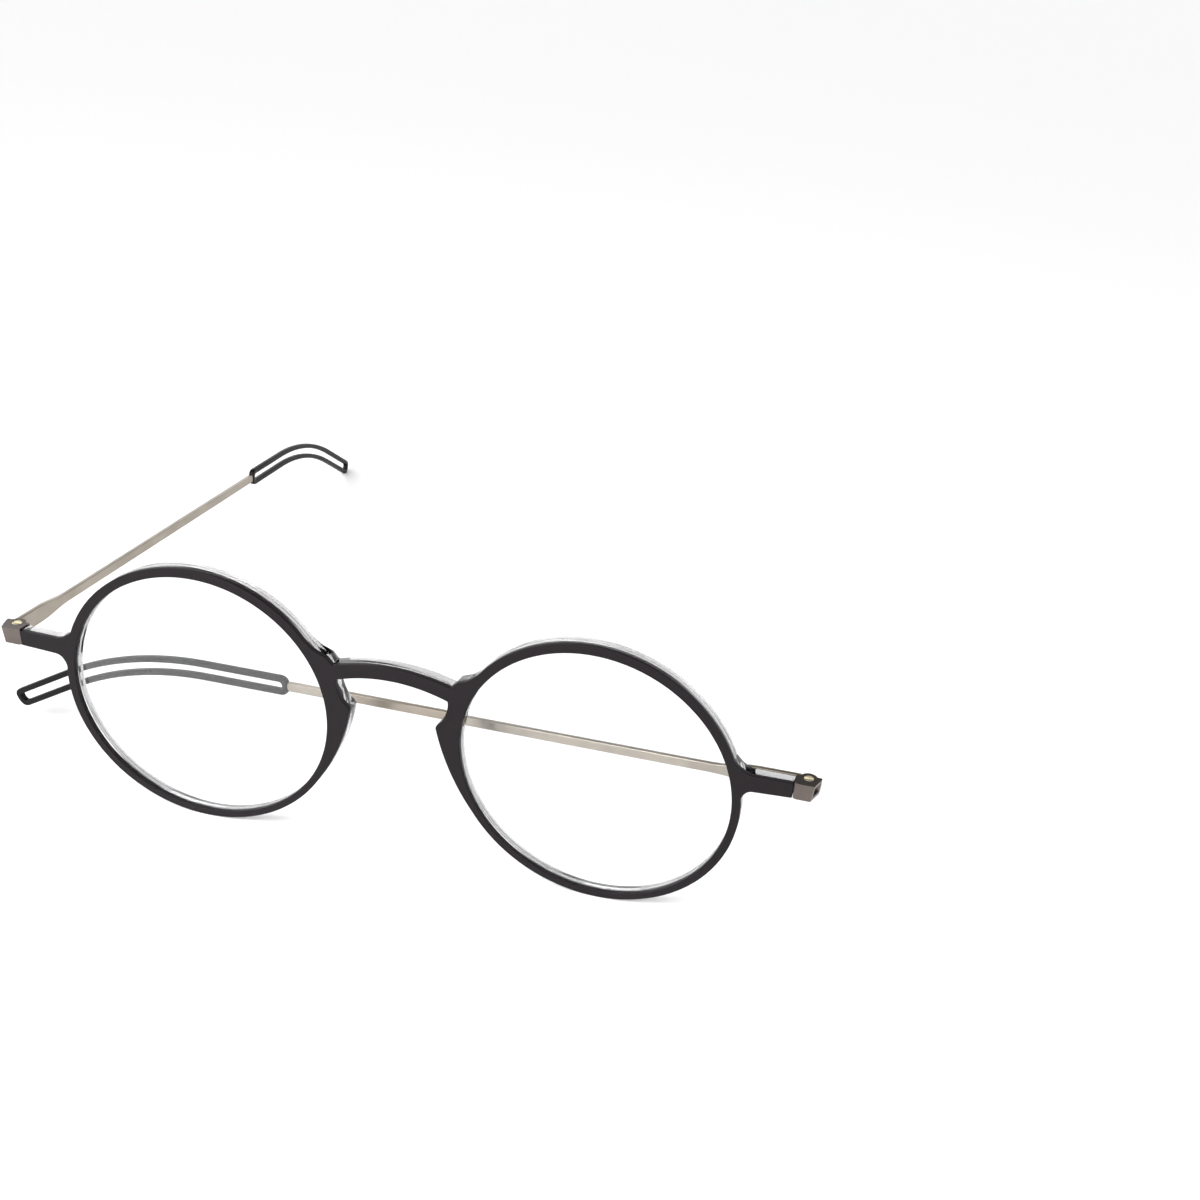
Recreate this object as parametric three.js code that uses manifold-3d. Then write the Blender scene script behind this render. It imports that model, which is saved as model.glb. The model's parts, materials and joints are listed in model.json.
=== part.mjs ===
// Folding reading glasses with round lenses, standing on a table: the temple on the
// viewer's left is open, the one on the viewer's right is folded in behind the front.
// Millimetres and degrees, +Z up, +X to the viewer's right, the front looks along -Y.
//
// The front is drawn flat, x across and z up from the line through both lens centres,
// with y = 0 on its front face and y growing towards the wearer. It is then wrapped
// gently round the face and leaned back until it rests on its rims and one temple tip.

import * as THREE from "three";
import { mergeVertices } from "three/addons/utils/BufferGeometryUtils.js";
import Module from "manifold-3d";

const wasm = await Module();
wasm.setup();

// ---- driving dimensions ----
const wrapRadius = 6000; // the front's curve round the face
const lensX = 32.95; // from the middle of the bridge to a lens centre
const ovalTilt = -34.5; // the long axis of each opening drops outwards
const opening = { x: lensX, z: 0.1, a: 22.25, b: 21.1 };
const rim = { x: lensX, z: 0.3, a: 23.7, b: 22.4 };
const face = { front: 0, back: 0.7 }; // the thin dark layer
const clear = { front: 0.78, back: 2.78, endBack: 2.45 }; // the clear layer behind it
const seat = { margin: 0.35, back: 2.05 }; // lens seat cut in the clear layer
const lens = { margin: 0.25, edgeFront: 0.92, edge: 1.0, bulge: 0.55 };
const endpiece = { x: 63.8, top: 6.18, bottom: 3.66 };

const pin = { x: 65.8, y: 2.2, z: 5.02 }; // hinge axis, on the flat drawing
const block = { half: 1.4, inner: -1.92, outer: 2, back: 0.55, lug: 1.35, bevel: 0.5 };
const outerSlope = { normal: [0.935, -0.34, -0.1], through: [2, 0.55, 0] };
const hingeSlot = { half: 0.78, front: -1.25, outer: 1.1 };
const sidePocket = { inner: 0.9, front: -1.75, back: 0.1 }; // opens the slot to the side
const screw = { shank: 0.42, hole: 0.5, head: 0.78, headBottom: 1.08, headTop: 1.36 };
const tongue = { inner: -7.7, outer: -1.0, front: -1.34, back: -1.04, half: 0.7 };
const knuckle = { radius: 0.95, half: 0.62, armEnd: 1.95, armIn: -0.2, armOut: 0.62 };

const strip = { inner: 0.7, outer: 1.5, start: 1.3, end: 89.6 }; // the metal temple
const stripDrop = -0.4; // the temple's middle line sits below the hinge's middle
const bladeHalf = 1.44;
const barHalf = 0.78;
const tenon = { half: 0.45, length: 0.7 };
const tip = { start: 89.68, bendStart: 105.5, bendRadius: 61.5, bend: 27.2, run: 14.9 };
const loop = { half: 1.74, wire: 1.05, corner: 1.6, inner: 0.55, outer: 1.65 };
const loopHole = { half: 0.69, corner: 0.6 };
const droop = 3.55; // temples slope down from the hinge

const openAngle = -5.4; // viewer's left temple, splayed a little past straight back
const foldedAngle = 85.2; // viewer's right temple, almost against the front

const roundSteps = 64; // sides of the lens openings and rims

const rad = THREE.MathUtils.degToRad;

// ---- solids ----

// A closed geometry as a manifold solid, without triangles that have no area.
function solidOf(geometry) {
  const bare = geometry.index ? geometry.toNonIndexed() : geometry.clone();
  bare.deleteAttribute("normal");
  bare.deleteAttribute("uv");
  const merged = mergeVertices(bare, 1e-4);
  const corners = merged.index.array;
  const kept = [];
  for (let i = 0; i < corners.length; i += 3) {
    const [a, b, c] = [corners[i], corners[i + 1], corners[i + 2]];
    if (a !== b && b !== c && c !== a) kept.push(a, b, c);
  }
  const mesh = new wasm.Mesh({
    numProp: 3,
    vertProperties: new Float32Array(merged.attributes.position.array),
    triVerts: new Uint32Array(kept),
  });
  return new wasm.Manifold(mesh);
}

function geometryOf(solid) {
  const mesh = solid.getMesh();
  const geometry = new THREE.BufferGeometry();
  const points = new Float32Array(mesh.vertProperties);
  geometry.setAttribute("position", new THREE.BufferAttribute(points, 3));
  geometry.setIndex(new THREE.BufferAttribute(new Uint32Array(mesh.triVerts), 1));
  const faceted = geometry.toNonIndexed();
  faceted.computeVertexNormals();
  return faceted;
}

const join = (solids) => solids.reduce((whole, next) => whole.add(next));

function extrude(shape, depth, segments = 24) {
  const options = { depth, bevelEnabled: false, curveSegments: segments };
  return new THREE.ExtrudeGeometry(shape, options);
}

// A plate of the front: an outline in x and z, between two depths.
function plate(shape, front, back, segments) {
  const geometry = extrude(shape, back - front, segments);
  geometry.rotateX(Math.PI / 2).translate(0, back, 0);
  return solidOf(geometry);
}

// A piece of the hinge: an outline seen from above, between two heights.
function slab(shape, bottom, top, segments) {
  return solidOf(extrude(shape, top - bottom, segments).translate(0, 0, bottom));
}

// A piece of the temple: an outline along y and z, between two distances out.
function side(shape, inner, outer, segments) {
  const geometry = extrude(shape, outer - inner, segments);
  geometry.rotateX(Math.PI / 2).rotateZ(Math.PI / 2).translate(inner, 0, 0);
  return solidOf(geometry);
}

function box(x0, x1, y0, y1, z0, z1) {
  const geometry = new THREE.BoxGeometry(x1 - x0, y1 - y0, z1 - z0);
  return solidOf(geometry.translate((x0 + x1) / 2, (y0 + y1) / 2, (z0 + z1) / 2));
}

function rod(radius, bottom, top, segments = 24) {
  const geometry = new THREE.CylinderGeometry(radius, radius, top - bottom, segments);
  geometry.rotateX(Math.PI / 2).translate(0, 0, (bottom + top) / 2);
  return solidOf(geometry);
}

// Everything past a plane, for cutting a slanted face.
function beyond(normal, through) {
  const size = 12;
  const geometry = new THREE.BoxGeometry(size, size, size).translate(size / 2, 0, 0);
  const outwards = new THREE.Vector3(1, 0, 0);
  const turn = new THREE.Quaternion().setFromUnitVectors(
    outwards,
    new THREE.Vector3(...normal).normalize(),
  );
  return solidOf(geometry.applyQuaternion(turn).translate(...through));
}

// The slope of the wrapped front at a distance from its middle.
const slopeAt = (x) => Math.atan(x / wrapRadius);

// Where a point of the flat drawing goes when the front is wrapped.
function wrapped(x, y, z) {
  const slope = slopeAt(x);
  const sag = (x * x) / (2 * wrapRadius);
  return new THREE.Vector3(x - y * Math.sin(slope), sag + y * Math.cos(slope), z);
}

function wrap(geometry) {
  const points = geometry.attributes.position;
  for (let i = 0; i < points.count; i++) {
    const at = wrapped(points.getX(i), points.getY(i), points.getZ(i));
    points.setXYZ(i, at.x, at.y, at.z);
  }
  geometry.computeVertexNormals();
  return geometry;
}

// ---- the front ----

function oval({ x, z, a, b }, hand, margin = 0) {
  const shape = new THREE.Shape();
  const tilt = rad(ovalTilt) * hand;
  shape.absellipse(hand * x, z, a + margin, b + margin, 0, 2 * Math.PI, false, tilt);
  return shape;
}

// The arched bar of the bridge, with the small steps where it meets the rims.
function bridgeOutline() {
  const shape = new THREE.Shape();
  shape.moveTo(-9.65, 11.35);
  shape.quadraticCurveTo(0, 14.25, 9.65, 11.35);
  shape.lineTo(10.55, 12.45);
  shape.lineTo(12.1, 13.05);
  shape.lineTo(15.2, 15.6);
  shape.lineTo(16, 8.3);
  shape.lineTo(9.15, 8.9);
  shape.quadraticCurveTo(0, 12.1, -9.15, 8.9);
  shape.lineTo(-16, 8.3);
  shape.lineTo(-15.2, 15.6);
  shape.lineTo(-12.1, 13.05);
  shape.lineTo(-10.55, 12.45);
  return shape;
}

// The thicker flank that rests on the nose, with a small ledge at its top.
function noseOutline(hand) {
  const shape = new THREE.Shape();
  shape.moveTo(hand * 14, 9);
  shape.lineTo(hand * 9.15, 9);
  shape.lineTo(hand * 9.1, 7.45);
  shape.quadraticCurveTo(hand * 8.65, 5.5, hand * 7.6, 4.5);
  shape.quadraticCurveTo(hand * 7, 4.05, hand * 7.2, 3.3);
  shape.quadraticCurveTo(hand * 9, -5.1, hand * 14, -11.9);
  shape.lineTo(hand * 18.1, -8.2);
  return shape;
}

// The arm that carries the hinge, flared where it leaves the rim.
function endpieceOutline(hand) {
  const shape = new THREE.Shape();
  shape.moveTo(hand * 53, 9.8);
  shape.quadraticCurveTo(hand * 55.3, 6.3, hand * 57.7, endpiece.top);
  shape.lineTo(hand * endpiece.x, endpiece.top);
  shape.lineTo(hand * endpiece.x, endpiece.bottom);
  shape.lineTo(hand * 57.7, endpiece.bottom - 0.3);
  shape.quadraticCurveTo(hand * 56.2, 3.2, hand * 55.95, 0.6);
  shape.lineTo(hand * 53.3, 0.6);
  return shape;
}

function frontLayer(front, back, endBack) {
  const pieces = [plate(bridgeOutline(), front, back)];
  for (const hand of [-1, 1]) {
    pieces.push(plate(oval(rim, hand), front, back, roundSteps));
    pieces.push(plate(noseOutline(hand), front, back, 12));
    pieces.push(plate(endpieceOutline(hand), front, endBack, 8));
  }
  let layer = join(pieces);
  for (const hand of [-1, 1])
    layer = layer.subtract(plate(oval(opening, hand), front - 1, back + 1, roundSteps));
  return layer;
}

const frontFace = () => wrap(geometryOf(frontLayer(face.front, face.back, face.back)));

// The clear layer holds the lens seats and the pockets for the hinge tongues.
function backFrame() {
  let frame = frontLayer(clear.front, clear.back, clear.endBack);
  for (const hand of [-1, 1]) {
    const seatCut = plate(oval(opening, hand, seat.margin), 0, seat.back, roundSteps);
    const ends = [hand * 57.8, hand * 64.6].sort((p, q) => p - q);
    const pocket = box(ends[0], ends[1], 0, 1.26, pin.z - 0.9, pin.z + 0.95);
    frame = frame.subtract(seatCut).subtract(pocket);
  }
  return wrap(geometryOf(frame));
}

// A thin lens, both faces curved the same way, drawn round and then made oval.
function lensBody() {
  const steps = 4;
  const front = [];
  const back = [];
  for (let i = 0; i <= steps; i++) {
    const r = i / steps;
    const rise = lens.bulge * (1 - r * r);
    front.push(new THREE.Vector2(r, lens.edgeFront - rise));
    back.unshift(new THREE.Vector2(r, lens.edgeFront + lens.edge - 0.8 * rise));
  }
  const disc = new THREE.LatheGeometry([...front, ...back], roundSteps);
  disc.scale(opening.a + lens.margin, 1, opening.b + lens.margin);
  disc.rotateY(-rad(ovalTilt));
  disc.translate(opening.x, 0, opening.z);
  return wrap(geometryOf(solidOf(disc)));
}

// ---- the hinge, drawn round its own axis, x outwards and y back ----

function hingeBlock() {
  const outline = new THREE.Shape();
  outline.moveTo(block.inner, 0.24 - pin.y);
  outline.lineTo(block.inner + block.bevel, -pin.y);
  outline.lineTo(block.outer, -pin.y);
  outline.lineTo(block.outer, block.back);
  outline.absarc(0, 0, block.lug, rad(28), rad(162), false);
  outline.lineTo(block.inner, 0.4);
  const body = slab(outline, -block.half, block.half, 12);
  const cuts = [
    beyond(outerSlope.normal, outerSlope.through),
    box(-3, hingeSlot.outer, hingeSlot.front, 3, -hingeSlot.half, hingeSlot.half),
    box(sidePocket.inner, 3, sidePocket.front, sidePocket.back, -hingeSlot.half, hingeSlot.half),
    rod(screw.hole, -3, 3),
    rod(screw.head + 0.08, screw.headBottom - 0.08, 3),
    box(-3, tongue.outer + 0.1, tongue.front - 0.08, -0.9, -0.9, 0.95),
  ];
  return geometryOf(body.subtract(join(cuts)));
}

function hingeScrew() {
  const shank = rod(screw.shank, -1.3, screw.headBottom);
  const head = rod(screw.head, screw.headBottom, screw.headTop);
  const drive = box(-2, 2, -0.13, 0.13, screw.headTop - 0.16, 3);
  return geometryOf(shank.add(head).subtract(drive));
}

// The steel tongue that anchors the block in the clear layer, with three barbs.
function hingeTongue() {
  const body = box(tongue.inner, tongue.outer, tongue.front, tongue.back, -tongue.half, tongue.half);
  const barbs = [-5, -4, -3].map((x) =>
    box(x - 0.18, x + 0.18, tongue.front, tongue.back, 0, tongue.half + 0.17),
  );
  return geometryOf(join([body, ...barbs]));
}

// ---- the temple, drawn pointing straight back from the hinge axis ----

function templeKnuckle() {
  const arm = box(knuckle.armIn, knuckle.armOut, 0, knuckle.armEnd, -knuckle.half, knuckle.half);
  const barrel = rod(knuckle.radius, -knuckle.half, knuckle.half);
  return geometryOf(barrel.add(arm).subtract(rod(screw.hole, -3, 3)));
}

// A flat metal strip: a wide blade at the hinge, then a narrow bar to the tip.
function templeStrip() {
  const shape = new THREE.Shape();
  shape.moveTo(strip.start, bladeHalf);
  shape.lineTo(8, bladeHalf - 0.03);
  shape.bezierCurveTo(12, 1.25, 12.5, barHalf, 16.3, barHalf);
  shape.lineTo(strip.end, barHalf);
  shape.lineTo(strip.end, tenon.half);
  shape.lineTo(strip.end + tenon.length, tenon.half);
  shape.lineTo(strip.end + tenon.length, -tenon.half);
  shape.lineTo(strip.end, -tenon.half);
  shape.lineTo(strip.end, -barHalf);
  shape.lineTo(16.3, -barHalf);
  shape.bezierCurveTo(12.5, -barHalf, 12, -1.25, 8, 0.03 - bladeHalf);
  shape.lineTo(strip.start, -bladeHalf);
  return geometryOf(side(shape, strip.inner, strip.outer, 12));
}

// An outline that follows the tip's middle line: straight, bent down, straight again.
function loopOutline(half, inset, corner) {
  const turn = rad(tip.bend);
  const start = tip.start + inset;
  const run = tip.run - inset;
  const top = Math.PI / 2;
  const bendEnd = new THREE.Vector2(
    tip.bendStart + tip.bendRadius * Math.sin(turn),
    tip.bendRadius * (Math.cos(turn) - 1),
  );
  const at = (along, across) => [
    bendEnd.x + along * Math.cos(turn) + across * Math.sin(turn),
    bendEnd.y - along * Math.sin(turn) + across * Math.cos(turn),
  ];
  const shape = new THREE.Shape();
  shape.moveTo(start + corner, half);
  shape.absarc(tip.bendStart, -tip.bendRadius, tip.bendRadius + half, top, top - turn, true);
  shape.lineTo(...at(run - corner, half));
  shape.quadraticCurveTo(...at(run, half), ...at(run, half - corner));
  shape.lineTo(...at(run, corner - half));
  shape.quadraticCurveTo(...at(run, -half), ...at(run - corner, -half));
  shape.absarc(tip.bendStart, -tip.bendRadius, tip.bendRadius - half, top - turn, top, false);
  shape.lineTo(start + corner, -half);
  shape.quadraticCurveTo(start, -half, start, corner - half);
  shape.lineTo(start, half - corner);
  shape.quadraticCurveTo(start, half, start + corner, half);
  return shape;
}

// The open loop at the end of the temple, with the hole that takes the strip's tenon.
function templeTip() {
  const outline = loopOutline(loop.half, 0, loop.corner);
  const slot = loopOutline(loopHole.half, loop.wire, loopHole.corner);
  const body = side(outline, loop.inner, loop.outer, 12);
  const hole = side(slot, loop.inner - 1, loop.outer + 1, 12);
  const socket = box(strip.inner - 0.08, strip.outer + 0.08, strip.end - 1, strip.end + 1.3, -0.53, 0.53);
  return geometryOf(body.subtract(hole).subtract(socket));
}

// ---- assembly ----

const materials = {
  face: { color: 0x2f2b2e, roughness: 0.55, metalness: 0 },
  clear: { color: 0xf4f6f7, roughness: 0.08, metalness: 0, transparent: true, opacity: 0.4 },
  lens: { color: 0xfbfdfd, roughness: 0.02, metalness: 0, transparent: true, opacity: 0.3 },
  block: { color: 0x7a6f6a, roughness: 0.38, metalness: 1 },
  screw: { color: 0xd9d2b4, roughness: 0.25, metalness: 1 },
  tongue: { color: 0x55504e, roughness: 0.4, metalness: 1 },
  temple: { color: 0x9b8f86, roughness: 0.35, metalness: 1 },
  tip: { color: 0x161517, roughness: 0.6, metalness: 0 },
};

function named(name, geometry, finish) {
  const mesh = new THREE.Mesh(geometry, new THREE.MeshStandardMaterial(materials[finish]));
  mesh.name = name;
  return mesh;
}

// The temple turns on the hinge axis; 0 points straight back from a flat front.
function temple(name, angle) {
  const swing = new THREE.Group();
  swing.rotation.z = rad(angle) - slopeAt(pin.x);
  const slope = new THREE.Group();
  slope.position.z = stripDrop;
  slope.rotation.x = -rad(droop);
  slope.add(named("temple_" + name, templeStrip(), "temple"));
  slope.add(named("temple_tip_" + name, templeTip(), "tip"));
  swing.add(named("temple_knuckle_" + name, templeKnuckle(), "block"), slope);
  return swing;
}

// One half of the glasses, drawn for the viewer's right and mirrored for the left.
function half(name, hand, angle) {
  const group = new THREE.Group();
  group.scale.x = hand;
  group.add(named("lens_" + name, lensBody(), "lens"));
  const hinge = new THREE.Group();
  hinge.position.copy(wrapped(pin.x, pin.y, pin.z));
  hinge.rotation.z = slopeAt(pin.x);
  hinge.add(
    named("hinge_block_" + name, hingeBlock(), "block"),
    named("hinge_tongue_" + name, hingeTongue(), "tongue"),
    named("hinge_screw_" + name, hingeScrew(), "screw"),
    temple(name, angle),
  );
  group.add(hinge);
  return group;
}

const glasses = new THREE.Group();
glasses.add(
  named("front_face", frontFace(), "face"),
  named("back_frame", backFrame(), "clear"),
  half("left", -1, openAngle),
  half("right", 1, foldedAngle),
);

// Lean the front until the lower back edge of the rims and the lowest corner of the
// open temple's tip stand on the same level.
function lowest(name, lean) {
  glasses.rotation.x = -lean;
  glasses.updateMatrixWorld(true);
  return new THREE.Box3().setFromObject(glasses.getObjectByName(name), true).min.z;
}

let [low, high] = [0, rad(8)];
for (let i = 0; i < 30; i++) {
  const lean = (low + high) / 2;
  if (lowest("temple_tip_left", lean) > lowest("back_frame", lean)) low = lean;
  else high = lean;
}
glasses.rotation.x = -low;
glasses.updateMatrixWorld(true);

// Put the origin under the middle of the whole object, on the table.
const bounds = new THREE.Box3().setFromObject(glasses, true);
const middle = bounds.getCenter(new THREE.Vector3());
glasses.position.set(-middle.x, -middle.y, -bounds.min.z);

const part = new THREE.Group();
part.add(glasses);
export default part;
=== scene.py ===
"""Folding reading glasses with round lenses, dressed for a studio picture.

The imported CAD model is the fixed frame. Each CAD plate lends its outline to a finely
drawn piece with rounded edges, and each hinge part is machined from its CAD solid.
Metres, +Z up, the front of the glasses looks along -Y. Left and right are the viewer's.
"""

import json
import math

import bmesh
import bpy
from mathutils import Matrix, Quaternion, Vector
from mathutils.geometry import delaunay_2d_cdt


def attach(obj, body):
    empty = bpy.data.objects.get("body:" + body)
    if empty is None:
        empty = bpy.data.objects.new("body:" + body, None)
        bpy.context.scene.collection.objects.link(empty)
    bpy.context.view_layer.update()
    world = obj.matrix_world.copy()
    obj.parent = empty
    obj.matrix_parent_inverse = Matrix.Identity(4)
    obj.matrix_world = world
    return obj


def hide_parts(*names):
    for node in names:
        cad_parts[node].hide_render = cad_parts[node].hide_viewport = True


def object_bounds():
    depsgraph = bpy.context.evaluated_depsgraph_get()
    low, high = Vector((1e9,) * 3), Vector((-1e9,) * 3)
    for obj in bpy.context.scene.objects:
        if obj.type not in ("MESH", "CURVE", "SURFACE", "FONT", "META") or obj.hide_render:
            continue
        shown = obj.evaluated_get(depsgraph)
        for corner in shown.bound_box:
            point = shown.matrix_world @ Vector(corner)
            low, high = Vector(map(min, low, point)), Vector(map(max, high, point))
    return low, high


MM = 0.001

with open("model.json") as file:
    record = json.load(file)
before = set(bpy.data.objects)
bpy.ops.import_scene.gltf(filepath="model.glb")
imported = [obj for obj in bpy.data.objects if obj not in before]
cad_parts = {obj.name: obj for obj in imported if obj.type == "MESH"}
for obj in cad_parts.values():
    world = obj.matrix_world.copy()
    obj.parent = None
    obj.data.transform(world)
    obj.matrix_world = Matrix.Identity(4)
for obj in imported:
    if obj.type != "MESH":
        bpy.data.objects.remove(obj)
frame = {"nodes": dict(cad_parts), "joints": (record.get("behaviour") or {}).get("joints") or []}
cad_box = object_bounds()

# ---- how finely the pieces are drawn ----
WELD = 0.002 * MM
CORNER = math.radians(18)  # an outline that turns more than this has a corner
STRAIGHT = 3.0 * MM  # a longer step of an outline is a straight stretch
SPACING = 0.4 * MM  # between the points of a curved stretch
CORNER_STEPS = 4
EDGE_STEPS = 4
CREASE = math.radians(40)  # faces that meet at more than this keep a crisp edge
INSIDE_ONLY = 1  # delaunay_2d_cdt: keep the triangles inside the outlines
OUTER_LEVEL = 0.5 * MM  # faces farther in than this belong to a pocket, not to the side
SEEDS = 40  # faces tried when looking for the largest flat side
SAME_WAY = 0.999  # cosine between the normals of one flat side
SAME_SIDE = 0.98  # the same for a side that is gently curved
CORNER_SHARE = 1.6  # corner radius of an outline for each unit of edge radius

# ---- radii of the rounded edges ----
FACE_EDGE = 0.13 * MM
CLEAR_EDGE = 0.12 * MM
STRIP_EDGE = 0.09 * MM
TIP_EDGE = 0.26 * MM
KNUCKLE_EDGE = 0.08 * MM
BLOCK_EDGE = 0.09 * MM
SCREW_EDGE = 0.05 * MM
TONGUE_EDGE = 0.04 * MM

# ---- layers of the front, measured back from the front of the dark one ----
CLEAR_FRONT = 0.78 * MM
BOND_DEPTH = 0.06 * MM  # how far the dark layer is sunk into the clear one
BOND_INSET = 0.02 * MM
SEAT_MARGIN = 0.35 * MM  # the step a lens sits in, wider than the opening
SEAT_DEPTH = 1.27 * MM
ENDPIECE_STARTS = 54 * MM
ENDPIECE_RUN = 3 * MM  # the stretch over which the clear layer gets thinner
ENDPIECE_THINNER = 0.165  # share of the clear layer's thickness missing at the hinge

# ---- the lenses ----
LENS_MARGIN = 0.25 * MM
LENS_FRONT = 0.92 * MM  # where the edge of a lens starts
LENS_EDGE = 1.0 * MM
LENS_BULGE = 0.55 * MM
LENS_HOLLOW = 0.44 * MM  # how far the back face is hollowed
LENS_RINGS = 14
LENS_BEVEL = 0.06 * MM


# ---- the front's own directions, from the hinge axes ----
def joint(name):
    return next(each for each in frame["joints"] if each["name"] == name)


left_pin = Vector(joint("left_temple_fold")["pos_m"])
right_pin = Vector(joint("right_temple_fold")["pos_m"])
across = (right_pin - left_pin).normalized()
up = Vector(joint("right_temple_fold")["axis"]).normalized()
backwards = up.cross(across)


class Drawing:
    """A flat drawing in space, seen from outside: x and y along it, depth away from the eye.

    bow curves it away from the eye by bow times x squared, as the front is wrapped."""

    def __init__(self, origin, x_way, facing, bow=0.0):
        self.origin = origin
        self.x_way = x_way
        self.facing = facing
        self.y_way = facing.cross(x_way)
        self.bow = bow

    def flat(self, point):
        away = point - self.origin
        return Vector((away.dot(self.x_way), away.dot(self.y_way)))

    def depth(self, point):
        return -(point - self.origin).dot(self.facing)

    def place(self, flat, depth):
        sunk = depth + self.bow * flat.x**2
        return self.origin + self.x_way * flat.x + self.y_way * flat.y - self.facing * sunk

    def outwards(self, flat_way):
        return self.x_way * flat_way.x + self.y_way * flat_way.y


# ---- outlines ----
def welded(node):
    """A CAD node's mesh with its doubled corners joined."""
    solid = bmesh.new()
    solid.from_mesh(frame["nodes"][node].data)
    bmesh.ops.remove_doubles(solid, verts=solid.verts, dist=WELD)
    solid.normal_update()
    return solid


def broad_side(solid):
    """The outward direction of the largest flat side."""
    largest = sorted(solid.faces, key=lambda face: face.calc_area())[-SEEDS:]
    sides = [side_sum(solid, seed.normal.copy()) for seed in largest]
    return max(sides, key=lambda side: side.length).normalized()


def side_sum(solid, way):
    """The areas that face one way, added up as vectors."""
    alike = [face for face in solid.faces if face.normal.dot(way) > SAME_WAY]
    return sum((face.normal * face.calc_area() for face in alike), Vector())


def outlines_of(solid, facing):
    """The closed outlines of the side that faces one way, longest first, material on their left."""
    alike = [face for face in solid.faces if face.normal.dot(facing) > SAME_SIDE]
    foremost = max(face.calc_center_median().dot(facing) for face in alike)
    limit = foremost - OUTER_LEVEL
    chosen = [face for face in alike if face.calc_center_median().dot(facing) > limit]
    indices = {face.index for face in chosen}
    following = {}
    for face in chosen:
        for corner in face.loops:
            beside = [other for other in corner.edge.link_faces if other.index != face.index]
            if not any(other.index in indices for other in beside):
                following[corner.vert.index] = corner.link_loop_next.vert.index
    solid.verts.ensure_lookup_table()
    found = []
    while following:
        start, at = following.popitem()
        loop = [start]
        while at != start:
            loop.append(at)
            at = following.pop(at)
        found.append([solid.verts[index].co.copy() for index in loop])
    return sorted(found, key=len_of, reverse=True)


def len_of(loop):
    return sum((loop[i] - loop[i - 1]).length for i in range(len(loop)))


def tangent(before, after, size_before, size_after):
    """The way through a point of an outline, or None at a corner."""
    if before.angle(after) > CORNER:
        return None
    if size_after > STRAIGHT:
        return after
    if size_before > STRAIGHT:
        return before
    return (before * size_after + after * size_before).normalized()


def mirrored(way, chord):
    return 2 * chord.dot(way) * chord - way


def curve_point(start, end, leaving, arriving, share):
    """A point of the smooth curve between two points, by cubic Hermite."""
    reach = (end - start).length
    s2 = share * share
    s3 = s2 * share
    return (
        start * (2 * s3 - 3 * s2 + 1)
        + leaving * (reach * (s3 - 2 * s2 + share))
        + end * (3 * s2 - 2 * s3)
        + arriving * (reach * (s3 - s2))
    )


def without_doubles(points):
    return [p for i, p in enumerate(points) if (p - points[i - 1]).length > 5 * WELD]


def refined(points, corner_radius):
    """An outline with its curves drawn finely and its corners slightly rounded."""
    points = without_doubles(points)
    count = len(points)
    steps = [points[(i + 1) % count] - points[i] for i in range(count)]
    sizes = [step.length for step in steps]
    ways = [step.normalized() for step in steps]
    tangents = [tangent(ways[i - 1], ways[i], sizes[i - 1], sizes[i]) for i in range(count)]
    drawn = []
    for i in range(count):
        start = points[i]
        end = points[(i + 1) % count]
        leaving = tangents[i]
        arriving = tangents[(i + 1) % count]
        drawn.append((start, leaving is None))
        if sizes[i] > STRAIGHT or (leaving is None and arriving is None):
            continue
        if leaving is None:
            leaving = mirrored(arriving, ways[i])
        if arriving is None:
            arriving = mirrored(leaving, ways[i])
        parts = math.ceil(sizes[i] / SPACING)
        for k in range(1, parts):
            drawn.append((curve_point(start, end, leaving, arriving, k / parts), False))
    return without_doubles(round_corners(drawn, corner_radius))


def round_corners(drawn, radius):
    rounded = []
    for i, (point, is_corner) in enumerate(drawn):
        if not is_corner:
            rounded.append(point)
            continue
        before = drawn[i - 1][0] - point
        after = drawn[(i + 1) % len(drawn)][0] - point
        turn = math.pi - before.angle(after)
        cut = min(radius * math.tan(turn / 2), 0.4 * before.length, 0.4 * after.length)
        first = point + before.normalized() * cut
        last = point + after.normalized() * cut
        for k in range(CORNER_STEPS + 1):
            share = k / CORNER_STEPS
            rest = 1 - share
            rounded.append(first * rest**2 + point * (2 * rest * share) + last * share**2)
    return rounded


def is_inside(point, loop):
    """Whether a point lies inside an outline, by counting the edges to its right."""
    crossings = 0
    for start, end in zip(loop, loop[1:] + loop[:1]):
        if (start.y > point.y) != (end.y > point.y):
            share = (point.y - start.y) / (end.y - start.y)
            crossings += point.x < start.x + share * (end.x - start.x)
    return crossings % 2 == 1


def right_of(way):
    return Vector((way.y, -way.x))


def edge_ways(loop):
    """At each point, the way out of the material, long enough to keep both sides parallel."""
    count = len(loop)
    ways = []
    for i in range(count):
        before = right_of((loop[i] - loop[i - 1]).normalized())
        after = right_of((loop[(i + 1) % count] - loop[i]).normalized())
        middle = (before + after).normalized()
        ways.append(middle / max(middle.dot(after), 0.5))
    return ways


# ---- plates with rounded edges ----
def rounded_rows(front, back, radius):
    """An edge as rows of (distance in from the outline, depth), from the front to the back."""
    angles = [i / EDGE_STEPS * math.pi / 2 for i in range(EDGE_STEPS + 1)]
    quarter = [(radius * (1 - math.sin(a)), radius * (1 - math.cos(a))) for a in angles]
    near = [(inset, front + depth) for inset, depth in quarter]
    far = [(inset, back - depth) for inset, depth in reversed(quarter)]
    return near + far


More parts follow.
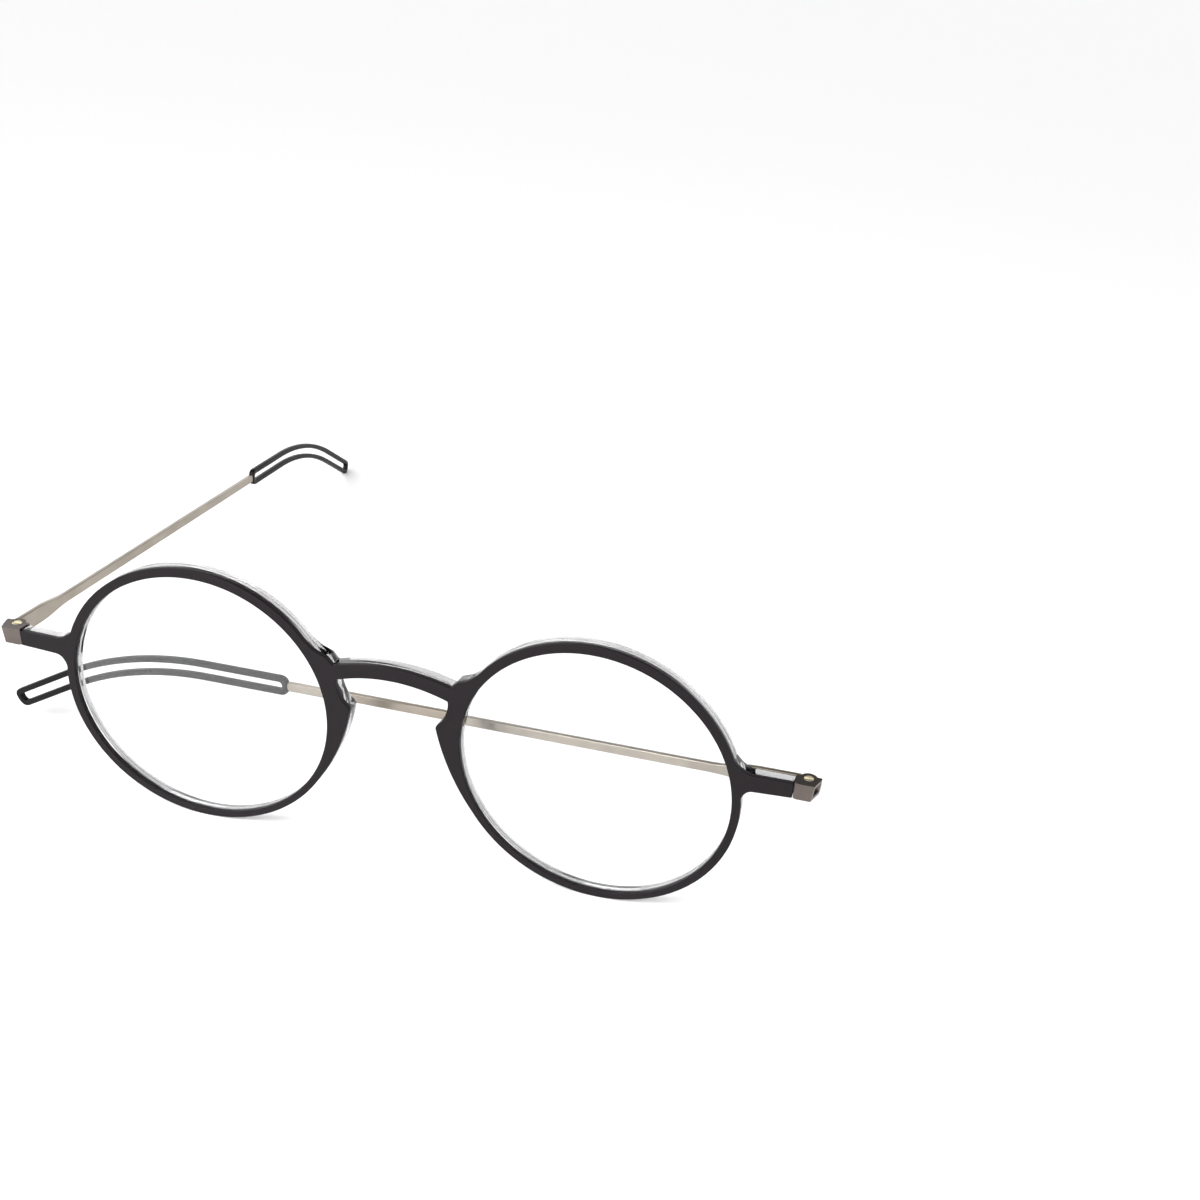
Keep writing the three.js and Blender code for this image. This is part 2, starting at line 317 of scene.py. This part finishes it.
def row_tilts(rows):
    """For each row, how far the surface before and after it leans from the front to the side."""
    leans = []
    for (inset, depth), (next_inset, next_depth) in zip(rows, rows[1:]):
        leans.append(math.atan2(next_depth - depth, inset - next_inset))
    tilts = [[0.0, 0.0]]
    for before, after in zip(leans, leans[1:]):
        if abs(after - before) < CREASE:
            middle = (before + after) / 2
            tilts.append([middle, middle])
        else:
            tilts.append([before, after])
    tilts.append([math.pi, math.pi])
    return tilts


class Shell:
    """Faces gathered with an exact normal at each corner."""

    def __init__(self, drawing, sink=None):
        self.drawing = drawing
        self.sink = sink or (lambda flat, depth: depth)
        self.points = []
        self.faces = []
        self.normals = []

    def add_row(self, loop, ways, inset, depth):
        first = len(self.points)
        for flat, way in zip(loop, ways):
            moved = flat - way * inset
            self.points.append(self.drawing.place(moved, self.sink(moved, depth)))
        return first

    def leaning(self, way, tilt):
        side = self.drawing.outwards(way.normalized())
        return self.drawing.facing * math.cos(tilt) + side * math.sin(tilt)

    def add_wall(self, loop, rows):
        """The edge along one outline. Returns the points of its first and its last row."""
        ways = edge_ways(loop)
        count = len(loop)
        firsts = [self.add_row(loop, ways, inset, depth) for inset, depth in rows]
        tilts = row_tilts(rows)
        for r in range(len(rows) - 1):
            near, far = firsts[r], firsts[r + 1]
            near_tilt, far_tilt = tilts[r][1], tilts[r + 1][0]
            for i in range(count):
                j = (i + 1) % count
                self.faces.append((near + i, far + i, far + j, near + j))
                self.normals += [
                    self.leaning(ways[i], near_tilt),
                    self.leaning(ways[i], far_tilt),
                    self.leaning(ways[j], far_tilt),
                    self.leaning(ways[j], near_tilt),
                ]
        return [range(first, first + count) for first in (firsts[0], firsts[-1])]

    def add_cap(self, rings, facing):
        """Triangles between an outer ring of points and the rings of its holes."""
        indices = [index for ring in rings for index in ring]
        flats = [self.drawing.flat(self.points[index]) for index in indices]
        edges = []
        start = 0
        for ring in rings:
            size = len(ring)
            edges += [(start + k, start + (k + 1) % size) for k in range(size)]
            start += size
        in_mm = [flat / MM for flat in flats]
        made = delaunay_2d_cdt(in_mm, edges, [], INSIDE_ONLY, 1e-6)
        originals = [indices[sources[0]] for sources in made[3]]
        holes = [[self.drawing.flat(self.points[k]) / MM for k in ring] for ring in rings[1:]]
        towards_eye = facing.dot(self.drawing.facing) > 0
        for triangle in made[2]:
            centre = sum((made[0][k] for k in triangle), Vector((0, 0))) / 3
            if any(is_inside(centre, hole) for hole in holes):
                continue
            corners = [originals[k] for k in triangle]
            self.faces.append(tuple(corners if towards_eye else reversed(corners)))
            self.normals += [facing] * len(corners)

    def finished(self, name):
        mesh = bpy.data.meshes.new(name)
        mesh.from_pydata(self.points, [], self.faces)
        mesh.shade_smooth()
        mesh.normals_split_custom_set(self.normals)
        mesh.validate()
        return linked(name, mesh)


def linked(name, mesh):
    piece = bpy.data.objects.new(name, mesh)
    bpy.context.scene.collection.objects.link(piece)
    return piece


def plate(name, drawing, loops, rows_of, sink=None):
    """A plate with holes. rows_of gives the edge of the outer outline (0) and of each hole."""
    shell = Shell(drawing, sink)
    rings = [shell.add_wall(loop, rows_of(i)) for i, loop in enumerate(loops)]
    shell.add_cap([near for near, far in rings], drawing.facing)
    shell.add_cap([far for near, far in rings], -drawing.facing)
    return shell.finished(name)


def plate_from(name, node, radius, facing=None):
    """A CAD plate drawn again, finely and with rounded edges."""
    solid = welded(node)
    facing = facing or broad_side(solid)
    loops = outlines_of(solid, facing)
    origin = loops[0][0]
    farthest = max(loops[0], key=lambda point: (point - origin).length)
    along = (farthest - origin).normalized()
    x_way = (along - facing * along.dot(facing)).normalized()
    drawing = Drawing(origin, x_way, facing)
    thickness = max(drawing.depth(vertex.co) for vertex in solid.verts)
    solid.free()
    rounding = CORNER_SHARE * radius
    fine = [refined([drawing.flat(point) for point in loop], rounding) for loop in loops]
    rows = rounded_rows(0, thickness, radius)
    return plate(name, drawing, fine, lambda i: rows)


# ---- the front ----
def front_drawing():
    """The front as drawn, and its outlines: the outer one, then the two lens openings."""
    solid = welded("front_face")
    loops = outlines_of(solid, -backwards)
    solid.free()
    middle = (left_pin + right_pin) / 2
    flat = Drawing(middle, across, -backwards)
    samples = [(flat.flat(point).x, flat.depth(point)) for point in loops[0]]
    count = len(samples)
    squares = sum(x**2 for x, depth in samples) / count
    fourths = sum(x**4 for x, depth in samples) / count
    mean = sum(depth for x, depth in samples) / count
    shared = sum(x**2 * depth for x, depth in samples) / count
    bow = (shared - squares * mean) / (fourths - squares**2)
    foremost = mean - bow * squares
    origin = middle + backwards * foremost
    drawing = Drawing(origin, across, -backwards, bow)
    rounding = CORNER_SHARE * FACE_EDGE
    fine = [refined([drawing.flat(p) for p in loop], rounding) for loop in loops]
    openings = sorted(fine[1:], key=lambda loop: loop[0].x)
    return drawing, [fine[0], *openings]


def dark_front(drawing, loops):
    """The dark layer, bonded to the clear one so that it shows through it from behind."""
    bond = CLEAR_FRONT + BOND_DEPTH
    near_edge = rounded_rows(0, bond, FACE_EDGE)[: EDGE_STEPS + 1]
    seam = [(0, CLEAR_FRONT - BOND_DEPTH), (BOND_INSET, CLEAR_FRONT), (BOND_INSET, bond)]
    return plate("dark_front", drawing, loops, lambda i: near_edge + seam)


def clear_frame(drawing, loops):
    """The clear layer, with the step that each lens sits in."""
    solid = welded("back_frame")
    depths = [drawing.depth(v.co) - drawing.bow * drawing.flat(v.co).x ** 2 for v in solid.verts]
    solid.free()
    back = max(depths)
    outer = rounded_rows(CLEAR_FRONT, back, CLEAR_EDGE)
    far_edge = outer[EDGE_STEPS + 1 :]
    seat_back = CLEAR_FRONT + SEAT_DEPTH
    opening = [(SEAT_MARGIN, CLEAR_FRONT), (SEAT_MARGIN, seat_back), (0, seat_back), *far_edge]

    def sink(flat, depth):
        share = min(max((abs(flat.x) - ENDPIECE_STARTS) / ENDPIECE_RUN, 0), 1)
        thinner = 1 - ENDPIECE_THINNER * share * share * (3 - 2 * share)
        return CLEAR_FRONT + (depth - CLEAR_FRONT) * thinner

    return plate("clear_frame", drawing, loops, lambda i: opening if i else outer, sink)


def lens(name, drawing, opening):
    """A thin lens: both faces curve the same way and its rim sits in the step."""
    outline = [flat - way * LENS_MARGIN for flat, way in zip(opening, edge_ways(opening))]
    outline.reverse()
    centre = sum(outline, Vector((0, 0))) / len(outline)
    count = len(outline)
    solid = bmesh.new()

    def ring(share, depth):
        flats = [centre + (flat - centre) * share for flat in outline]
        return [solid.verts.new(drawing.place(flat, depth)) for flat in flats]

    def front(share):
        return LENS_FRONT - LENS_BULGE * (1 - share**2)

    def back(share):
        return LENS_FRONT + LENS_EDGE - LENS_HOLLOW * (1 - share**2)

    shares = [k / LENS_RINGS for k in range(1, LENS_RINGS)]
    near_rim = 1 - LENS_BEVEL / (outline[0] - centre).length
    rings = [ring(share, front(share)) for share in [*shares, near_rim]]
    rings.append(ring(1, LENS_FRONT + LENS_BEVEL))
    rings.append(ring(1, LENS_FRONT + LENS_EDGE - LENS_BEVEL))
    rings += [ring(share, back(share)) for share in [near_rim, *reversed(shares)]]
    for inner, outer in zip(rings, rings[1:]):
        for i in range(count):
            j = (i + 1) % count
            solid.faces.new((inner[i], outer[i], outer[j], inner[j]))
    for ring_, depth, turned in ((rings[0], front(0), False), (rings[-1], back(0), True)):
        hub = solid.verts.new(drawing.place(centre, depth))
        for i in range(count):
            j = (i + 1) % count
            solid.faces.new((hub, ring_[j], ring_[i]) if turned else (hub, ring_[i], ring_[j]))
    return smooth_piece(name, solid)


def smooth_piece(name, solid, crease=CREASE):
    """A mesh shaded smooth, with crisp edges only where its faces meet steeply."""
    mesh = bpy.data.meshes.new(name)
    solid.normal_update()
    solid.to_mesh(mesh)
    solid.free()
    mesh.shade_smooth()
    mesh.set_sharp_from_angle(angle=crease)
    return linked(name, mesh)


# ---- hinge parts ----
def machined(name, node, edge, steps=3):
    """A CAD solid with its flats made whole and its edges broken, as a machined part has."""
    solid = welded(node)
    bmesh.ops.dissolve_limit(
        solid,
        angle_limit=math.radians(1),
        verts=solid.verts,
        edges=solid.edges,
    )
    sharp = [e for e in solid.edges if len(e.link_faces) == 2 and e.calc_face_angle() > CREASE]
    bmesh.ops.bevel(
        solid,
        geom=sharp,
        offset=edge,
        segments=steps,
        profile=0.5,
        affect="EDGES",
        clamp_overlap=True,
        miter_outer="ARC",
    )
    piece = smooth_piece(name, solid)
    flats = piece.modifiers.new("even_flats", "WEIGHTED_NORMAL")
    flats.keep_sharp = True
    return piece


# ---- materials ----
class Finish:
    """A Principled material with procedural colour, roughness and bump."""

    def __init__(self, name, colour, roughness, metallic=0.0, **constants):
        self.material = bpy.data.materials.new(name)
        self.material.use_nodes = True
        tree = self.material.node_tree
        self.nodes = tree.nodes
        self.links = tree.links
        self.shader = self.nodes["Principled BSDF"]
        self.set("Base Color", (*colour, 1))
        self.set("Roughness", roughness)
        self.set("Metallic", metallic)
        for socket, value in constants.items():
            self.set(socket.replace("_", " "), value)
        self.place = self.nodes.new("ShaderNodeTexCoord").outputs["Object"]

    def set(self, socket, value):
        self.shader.inputs[socket].default_value = value

    def noise(self, scale, detail=2.0, stretch=None):
        """Noise of so many grains to the metre, drawn out along a direction if one is given."""
        node = self.nodes.new("ShaderNodeTexNoise")
        node.inputs["Scale"].default_value = scale
        node.inputs["Detail"].default_value = detail
        source = self.place
        if stretch:
            direction, factor = stretch
            turn = self.nodes.new("ShaderNodeMapping")
            turn.vector_type = "TEXTURE"
            turn.inputs["Rotation"].default_value = direction.to_track_quat("X", "Z").to_euler()
            turn.inputs["Scale"].default_value = (factor, 1, 1)
            self.links.new(source, turn.inputs["Vector"])
            source = turn.outputs["Vector"]
        self.links.new(source, node.inputs["Vector"])
        return node.outputs["Fac"]

    def ranged(self, value, low, high):
        node = self.nodes.new("ShaderNodeMapRange")
        node.inputs["From Min"].default_value = 0.3
        node.inputs["From Max"].default_value = 0.7
        node.inputs["To Min"].default_value = low
        node.inputs["To Max"].default_value = high
        self.links.new(value, node.inputs["Value"])
        return node.outputs["Result"]

    def vary_roughness(self, value, low, high):
        self.links.new(self.ranged(value, low, high), self.shader.inputs["Roughness"])

    def vary_colour(self, value, dark, light):
        node = self.nodes.new("ShaderNodeMix")
        node.data_type = "RGBA"
        node.inputs["A"].default_value = (*dark, 1)
        node.inputs["B"].default_value = (*light, 1)
        self.links.new(self.ranged(value, 0, 1), node.inputs["Factor"])
        self.links.new(node.outputs["Result"], self.shader.inputs["Base Color"])

    def bump(self, value, height, strength=1.0):
        node = self.nodes.new("ShaderNodeBump")
        node.inputs["Strength"].default_value = strength
        node.inputs["Distance"].default_value = height
        self.links.new(value, node.inputs["Height"])
        self.links.new(node.outputs["Normal"], self.shader.inputs["Normal"])

    def lets_lamps_through(self, tint):
        """Light from the lamps reaches what is behind the glass."""
        through = self.nodes.new("ShaderNodeBsdfTransparent")
        through.inputs["Color"].default_value = (*tint, 1)
        mix = self.nodes.new("ShaderNodeMixShader")
        path = self.nodes.new("ShaderNodeLightPath")
        self.links.new(path.outputs["Is Shadow Ray"], mix.inputs["Fac"])
        self.links.new(self.shader.outputs["BSDF"], mix.inputs[1])
        self.links.new(through.outputs["BSDF"], mix.inputs[2])
        output = self.nodes["Material Output"]
        self.links.new(mix.outputs["Shader"], output.inputs["Surface"])


def dark_plastic():
    """Matte charcoal plastic with a fine moulded grain."""
    finish = Finish("dark_plastic", (0.009, 0.007, 0.0085), 0.5, Specular_IOR_Level=0.13)
    grain = finish.noise(5200, 3)
    cloud = finish.noise(90, 2)
    finish.vary_roughness(cloud, 0.44, 0.56)
    finish.vary_colour(grain, (0.0075, 0.0055, 0.007), (0.0105, 0.0085, 0.010))
    finish.bump(grain, 0.006 * MM, 0.6)
    return finish.material


def clear_plastic():
    """Clear polycarbonate, with the faint unevenness of a polished moulding."""
    finish = Finish("clear_plastic", (0.50, 0.495, 0.50), 0.04, IOR=1.49)
    finish.set("Transmission Weight", 1.0)
    finish.lets_lamps_through((0.75, 0.75, 0.76))
    finish.vary_roughness(finish.noise(420, 2), 0.02, 0.07)
    finish.bump(finish.noise(260, 1), 0.004 * MM, 0.5)
    return finish.material


def lens_glass():
    finish = Finish("lens_glass", (0.985, 0.99, 0.99), 0.0, IOR=1.5)
    finish.set("Transmission Weight", 1.0)
    finish.lets_lamps_through((0.94, 0.95, 0.95))
    finish.vary_roughness(finish.noise(60, 1), 0.0, 0.012)
    return finish.material


def brushed(name, dark, light, roughness, direction):
    """Satin metal with fine brush lines along a direction."""
    finish = Finish(name, light, roughness, 1.0)
    lines = finish.noise(9000, 2, (direction, 40))
    cloud = finish.noise(140, 2)
    finish.vary_colour(cloud, dark, light)
    finish.vary_roughness(lines, roughness - 0.07, roughness + 0.07)
    finish.bump(lines, 0.0015 * MM, 0.4)
    return finish.material


def soft_plastic():
    """Black satin plastic of the temple tips."""
    finish = Finish("tip_plastic", (0.005, 0.005, 0.006), 0.42, Specular_IOR_Level=0.10)
    grain = finish.noise(4200, 3)
    finish.vary_roughness(finish.noise(150, 2), 0.34, 0.46)
    finish.vary_colour(grain, (0.003, 0.003, 0.0035), (0.005, 0.005, 0.0055))
    finish.bump(grain, 0.005 * MM, 0.5)
    return finish.material


# ---- assembly ----
def fit(piece, material, body, node):
    """Gives a piece its finish and its place in the moving model."""
    piece.data.materials.clear()
    piece.data.materials.append(material)
    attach(piece, body)
    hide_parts(node)


def build_front():
    drawing, loops = front_drawing()
    fit(dark_front(drawing, loops), dark_plastic(), "front", "front_face")
    fit(clear_frame(drawing, loops), clear_plastic(), "front", "back_frame")
    glass = lens_glass()
    for side, opening in zip(("left", "right"), loops[1:]):
        name = "lens_" + side
        fit(lens(name + "_ground", drawing, opening), glass, "front", name)


def long_way(node):
    """The direction from end to end of a long CAD node."""
    corners = [vertex.co for vertex in frame["nodes"][node].data.vertices]
    first = max(corners, key=lambda point: (point - corners[0]).length)
    last = max(corners, key=lambda point: (point - first).length)
    return (last - first).normalized()


def build_side(side):
    body = "temple_" + side + "_assembly"
    bar = "temple_" + side
    tip = "temple_tip_" + side
    gunmetal = brushed(
        "gunmetal_" + side, (0.29, 0.255, 0.215), (0.36, 0.32, 0.27), 0.36, long_way(bar)
    )
    blockmetal = brushed(
        "block_metal_" + side, (0.10, 0.084, 0.077), (0.155, 0.132, 0.12), 0.36, up
    )
    screwmetal = brushed(
        "screw_metal_" + side, (0.74, 0.66, 0.44), (0.84, 0.76, 0.54), 0.42, across
    )
    tonguemetal = brushed(
        "tongue_metal_" + side, (0.10, 0.09, 0.085), (0.15, 0.135, 0.125), 0.38, across
    )
    fit(plate_from(bar + "_bar", bar, STRIP_EDGE), gunmetal, body, bar)
    fit(plate_from(tip + "_loop", tip, TIP_EDGE), soft_plastic(), body, tip)
    knuckle = "temple_knuckle_" + side
    fit(machined(knuckle + "_arm", knuckle, KNUCKLE_EDGE), blockmetal, body, knuckle)
    block = "hinge_block_" + side
    fit(machined(block + "_body", block, BLOCK_EDGE), blockmetal, "front", block)
    screw = "hinge_screw_" + side
    fit(machined(screw + "_pin", screw, SCREW_EDGE), screwmetal, "front", screw)
    tongue = "hinge_tongue_" + side
    fit(machined(tongue + "_strip", tongue, TONGUE_EDGE), tonguemetal, "front", tongue)


# ---- studio ----
CAMERA_AT = Vector((84.28, -234.77, 140.03)) * MM
CAMERA_AZIMUTH = math.radians(7.73)
CAMERA_ELEVATION = math.radians(30.60)
CAMERA_ROLL = math.radians(6.81)
CAMERA_LENS = 39.22
CAMERA_SHIFT = (-0.1255, 0.0754)  # the glasses stand low and to the left

FLOOR_HALF = 15.0
FLOOR_GAP = 0.02 * MM

SEEN_WHITE = 0.95  # the surround as the camera sees it
SURROUND = 2.35  # the surround as it lights the glasses
OVERHEAD = 0.05
DARK_WAY = math.radians(60)  # elevation of the middle of the dark part, behind the glasses
KEY_POWER = 1.4
KEY_SIZE = (0.25, 0.2)
KEY_FROM = Vector((-0.14, -0.20, 0.30))  # from the spot on the floor that it shines on


def studio_camera():
    data = bpy.data.cameras.new("camera")
    data.sensor_width = 36
    data.lens = CAMERA_LENS
    data.shift_x, data.shift_y = CAMERA_SHIFT
    data.clip_start = 0.01
    data.clip_end = 50
    camera = bpy.data.objects.new("camera", data)
    bpy.context.scene.collection.objects.link(camera)
    level = math.cos(CAMERA_ELEVATION)
    back = Vector((
        math.sin(CAMERA_AZIMUTH) * level,
        -math.cos(CAMERA_AZIMUTH) * level,
        math.sin(CAMERA_ELEVATION),
    ))
    camera.rotation_mode = "QUATERNION"
    upright = (-back).to_track_quat("-Z", "Y")
    camera.rotation_quaternion = upright @ Quaternion((0, 0, 1), CAMERA_ROLL)
    camera.location = CAMERA_AT
    bpy.context.scene.camera = camera


def studio_floor():
    solid = bmesh.new()
    bmesh.ops.create_grid(solid, x_segments=8, y_segments=8, size=FLOOR_HALF)
    mesh = bpy.data.meshes.new("floor")
    solid.to_mesh(mesh)
    solid.free()
    floor = linked("floor", mesh)
    floor.location.z = -FLOOR_GAP
    finish = Finish("floor_paper", (0.95, 0.95, 0.95), 0.8, Specular_IOR_Level=0.1)
    finish.vary_colour(finish.noise(900, 3), (0.945, 0.945, 0.945), (0.955, 0.955, 0.955))
    mesh.materials.append(finish.material)


def area_light(name, position, target, size, power):
    data = bpy.data.lights.new(name, "AREA")
    data.shape = "RECTANGLE"
    data.size = size[0]
    data.size_y = size[1]
    data.energy = power
    light = bpy.data.objects.new(name, data)
    light.location = position
    light.rotation_mode = "QUATERNION"
    light.rotation_quaternion = (target - light.location).to_track_quat("-Z", "Y")
    bpy.context.scene.collection.objects.link(light)


def studio_world():
    """White paper all round, dark above and behind and dimmer on the viewer's right."""
    world = bpy.data.worlds.new("studio")
    world.use_nodes = True
    nodes = world.node_tree.nodes
    links = world.node_tree.links
    seen = nodes["Background"]
    seen.inputs["Color"].default_value = (1, 1, 1, 1)
    seen.inputs["Strength"].default_value = SEEN_WHITE
    lit = nodes.new("ShaderNodeBackground")
    parts = nodes.new("ShaderNodeSeparateXYZ")
    direction = nodes.new("ShaderNodeTexCoord").outputs["Generated"]
    links.new(direction, parts.inputs["Vector"])

    def faded(amount, start, end, near, far):
        fade = nodes.new("ShaderNodeMapRange")
        fade.interpolation_type = "SMOOTHSTEP"
        fade.inputs["From Min"].default_value = start
        fade.inputs["From Max"].default_value = end
        fade.inputs["To Min"].default_value = near
        fade.inputs["To Max"].default_value = far
        links.new(amount, fade.inputs["Value"])
        return fade.outputs["Result"]

    cap = nodes.new("ShaderNodeVectorMath")
    cap.operation = "DOT_PRODUCT"
    cap.inputs[1].default_value = (0, math.cos(DARK_WAY), math.sin(DARK_WAY))
    links.new(direction, cap.inputs[0])
    product = nodes.new("ShaderNodeMath")
    product.operation = "MULTIPLY"
    links.new(faded(cap.outputs["Value"], 0.62, 0.84, SURROUND, OVERHEAD), product.inputs[0])
    links.new(faded(parts.outputs["X"], 0.2, 0.9, 1.0, 0.5), product.inputs[1])
    links.new(product.outputs["Value"], lit.inputs["Strength"])
    choice = nodes.new("ShaderNodeMixShader")
    links.new(nodes.new("ShaderNodeLightPath").outputs["Is Camera Ray"], choice.inputs["Fac"])
    links.new(lit.outputs["Background"], choice.inputs[1])
    links.new(seen.outputs["Background"], choice.inputs[2])
    links.new(choice.outputs["Shader"], nodes["World Output"].inputs["Surface"])
    bpy.context.scene.world = world


def studio_light():
    before = Vector((0.01, cad_box[0].y - 0.06, 0))
    area_light("key", before + KEY_FROM, before, KEY_SIZE, KEY_POWER)
    bpy.context.scene.view_settings.view_transform = "Standard"


studio_camera()
studio_floor()
studio_world()
studio_light()
build_front()
for side in ("left", "right"):
    build_side(side)
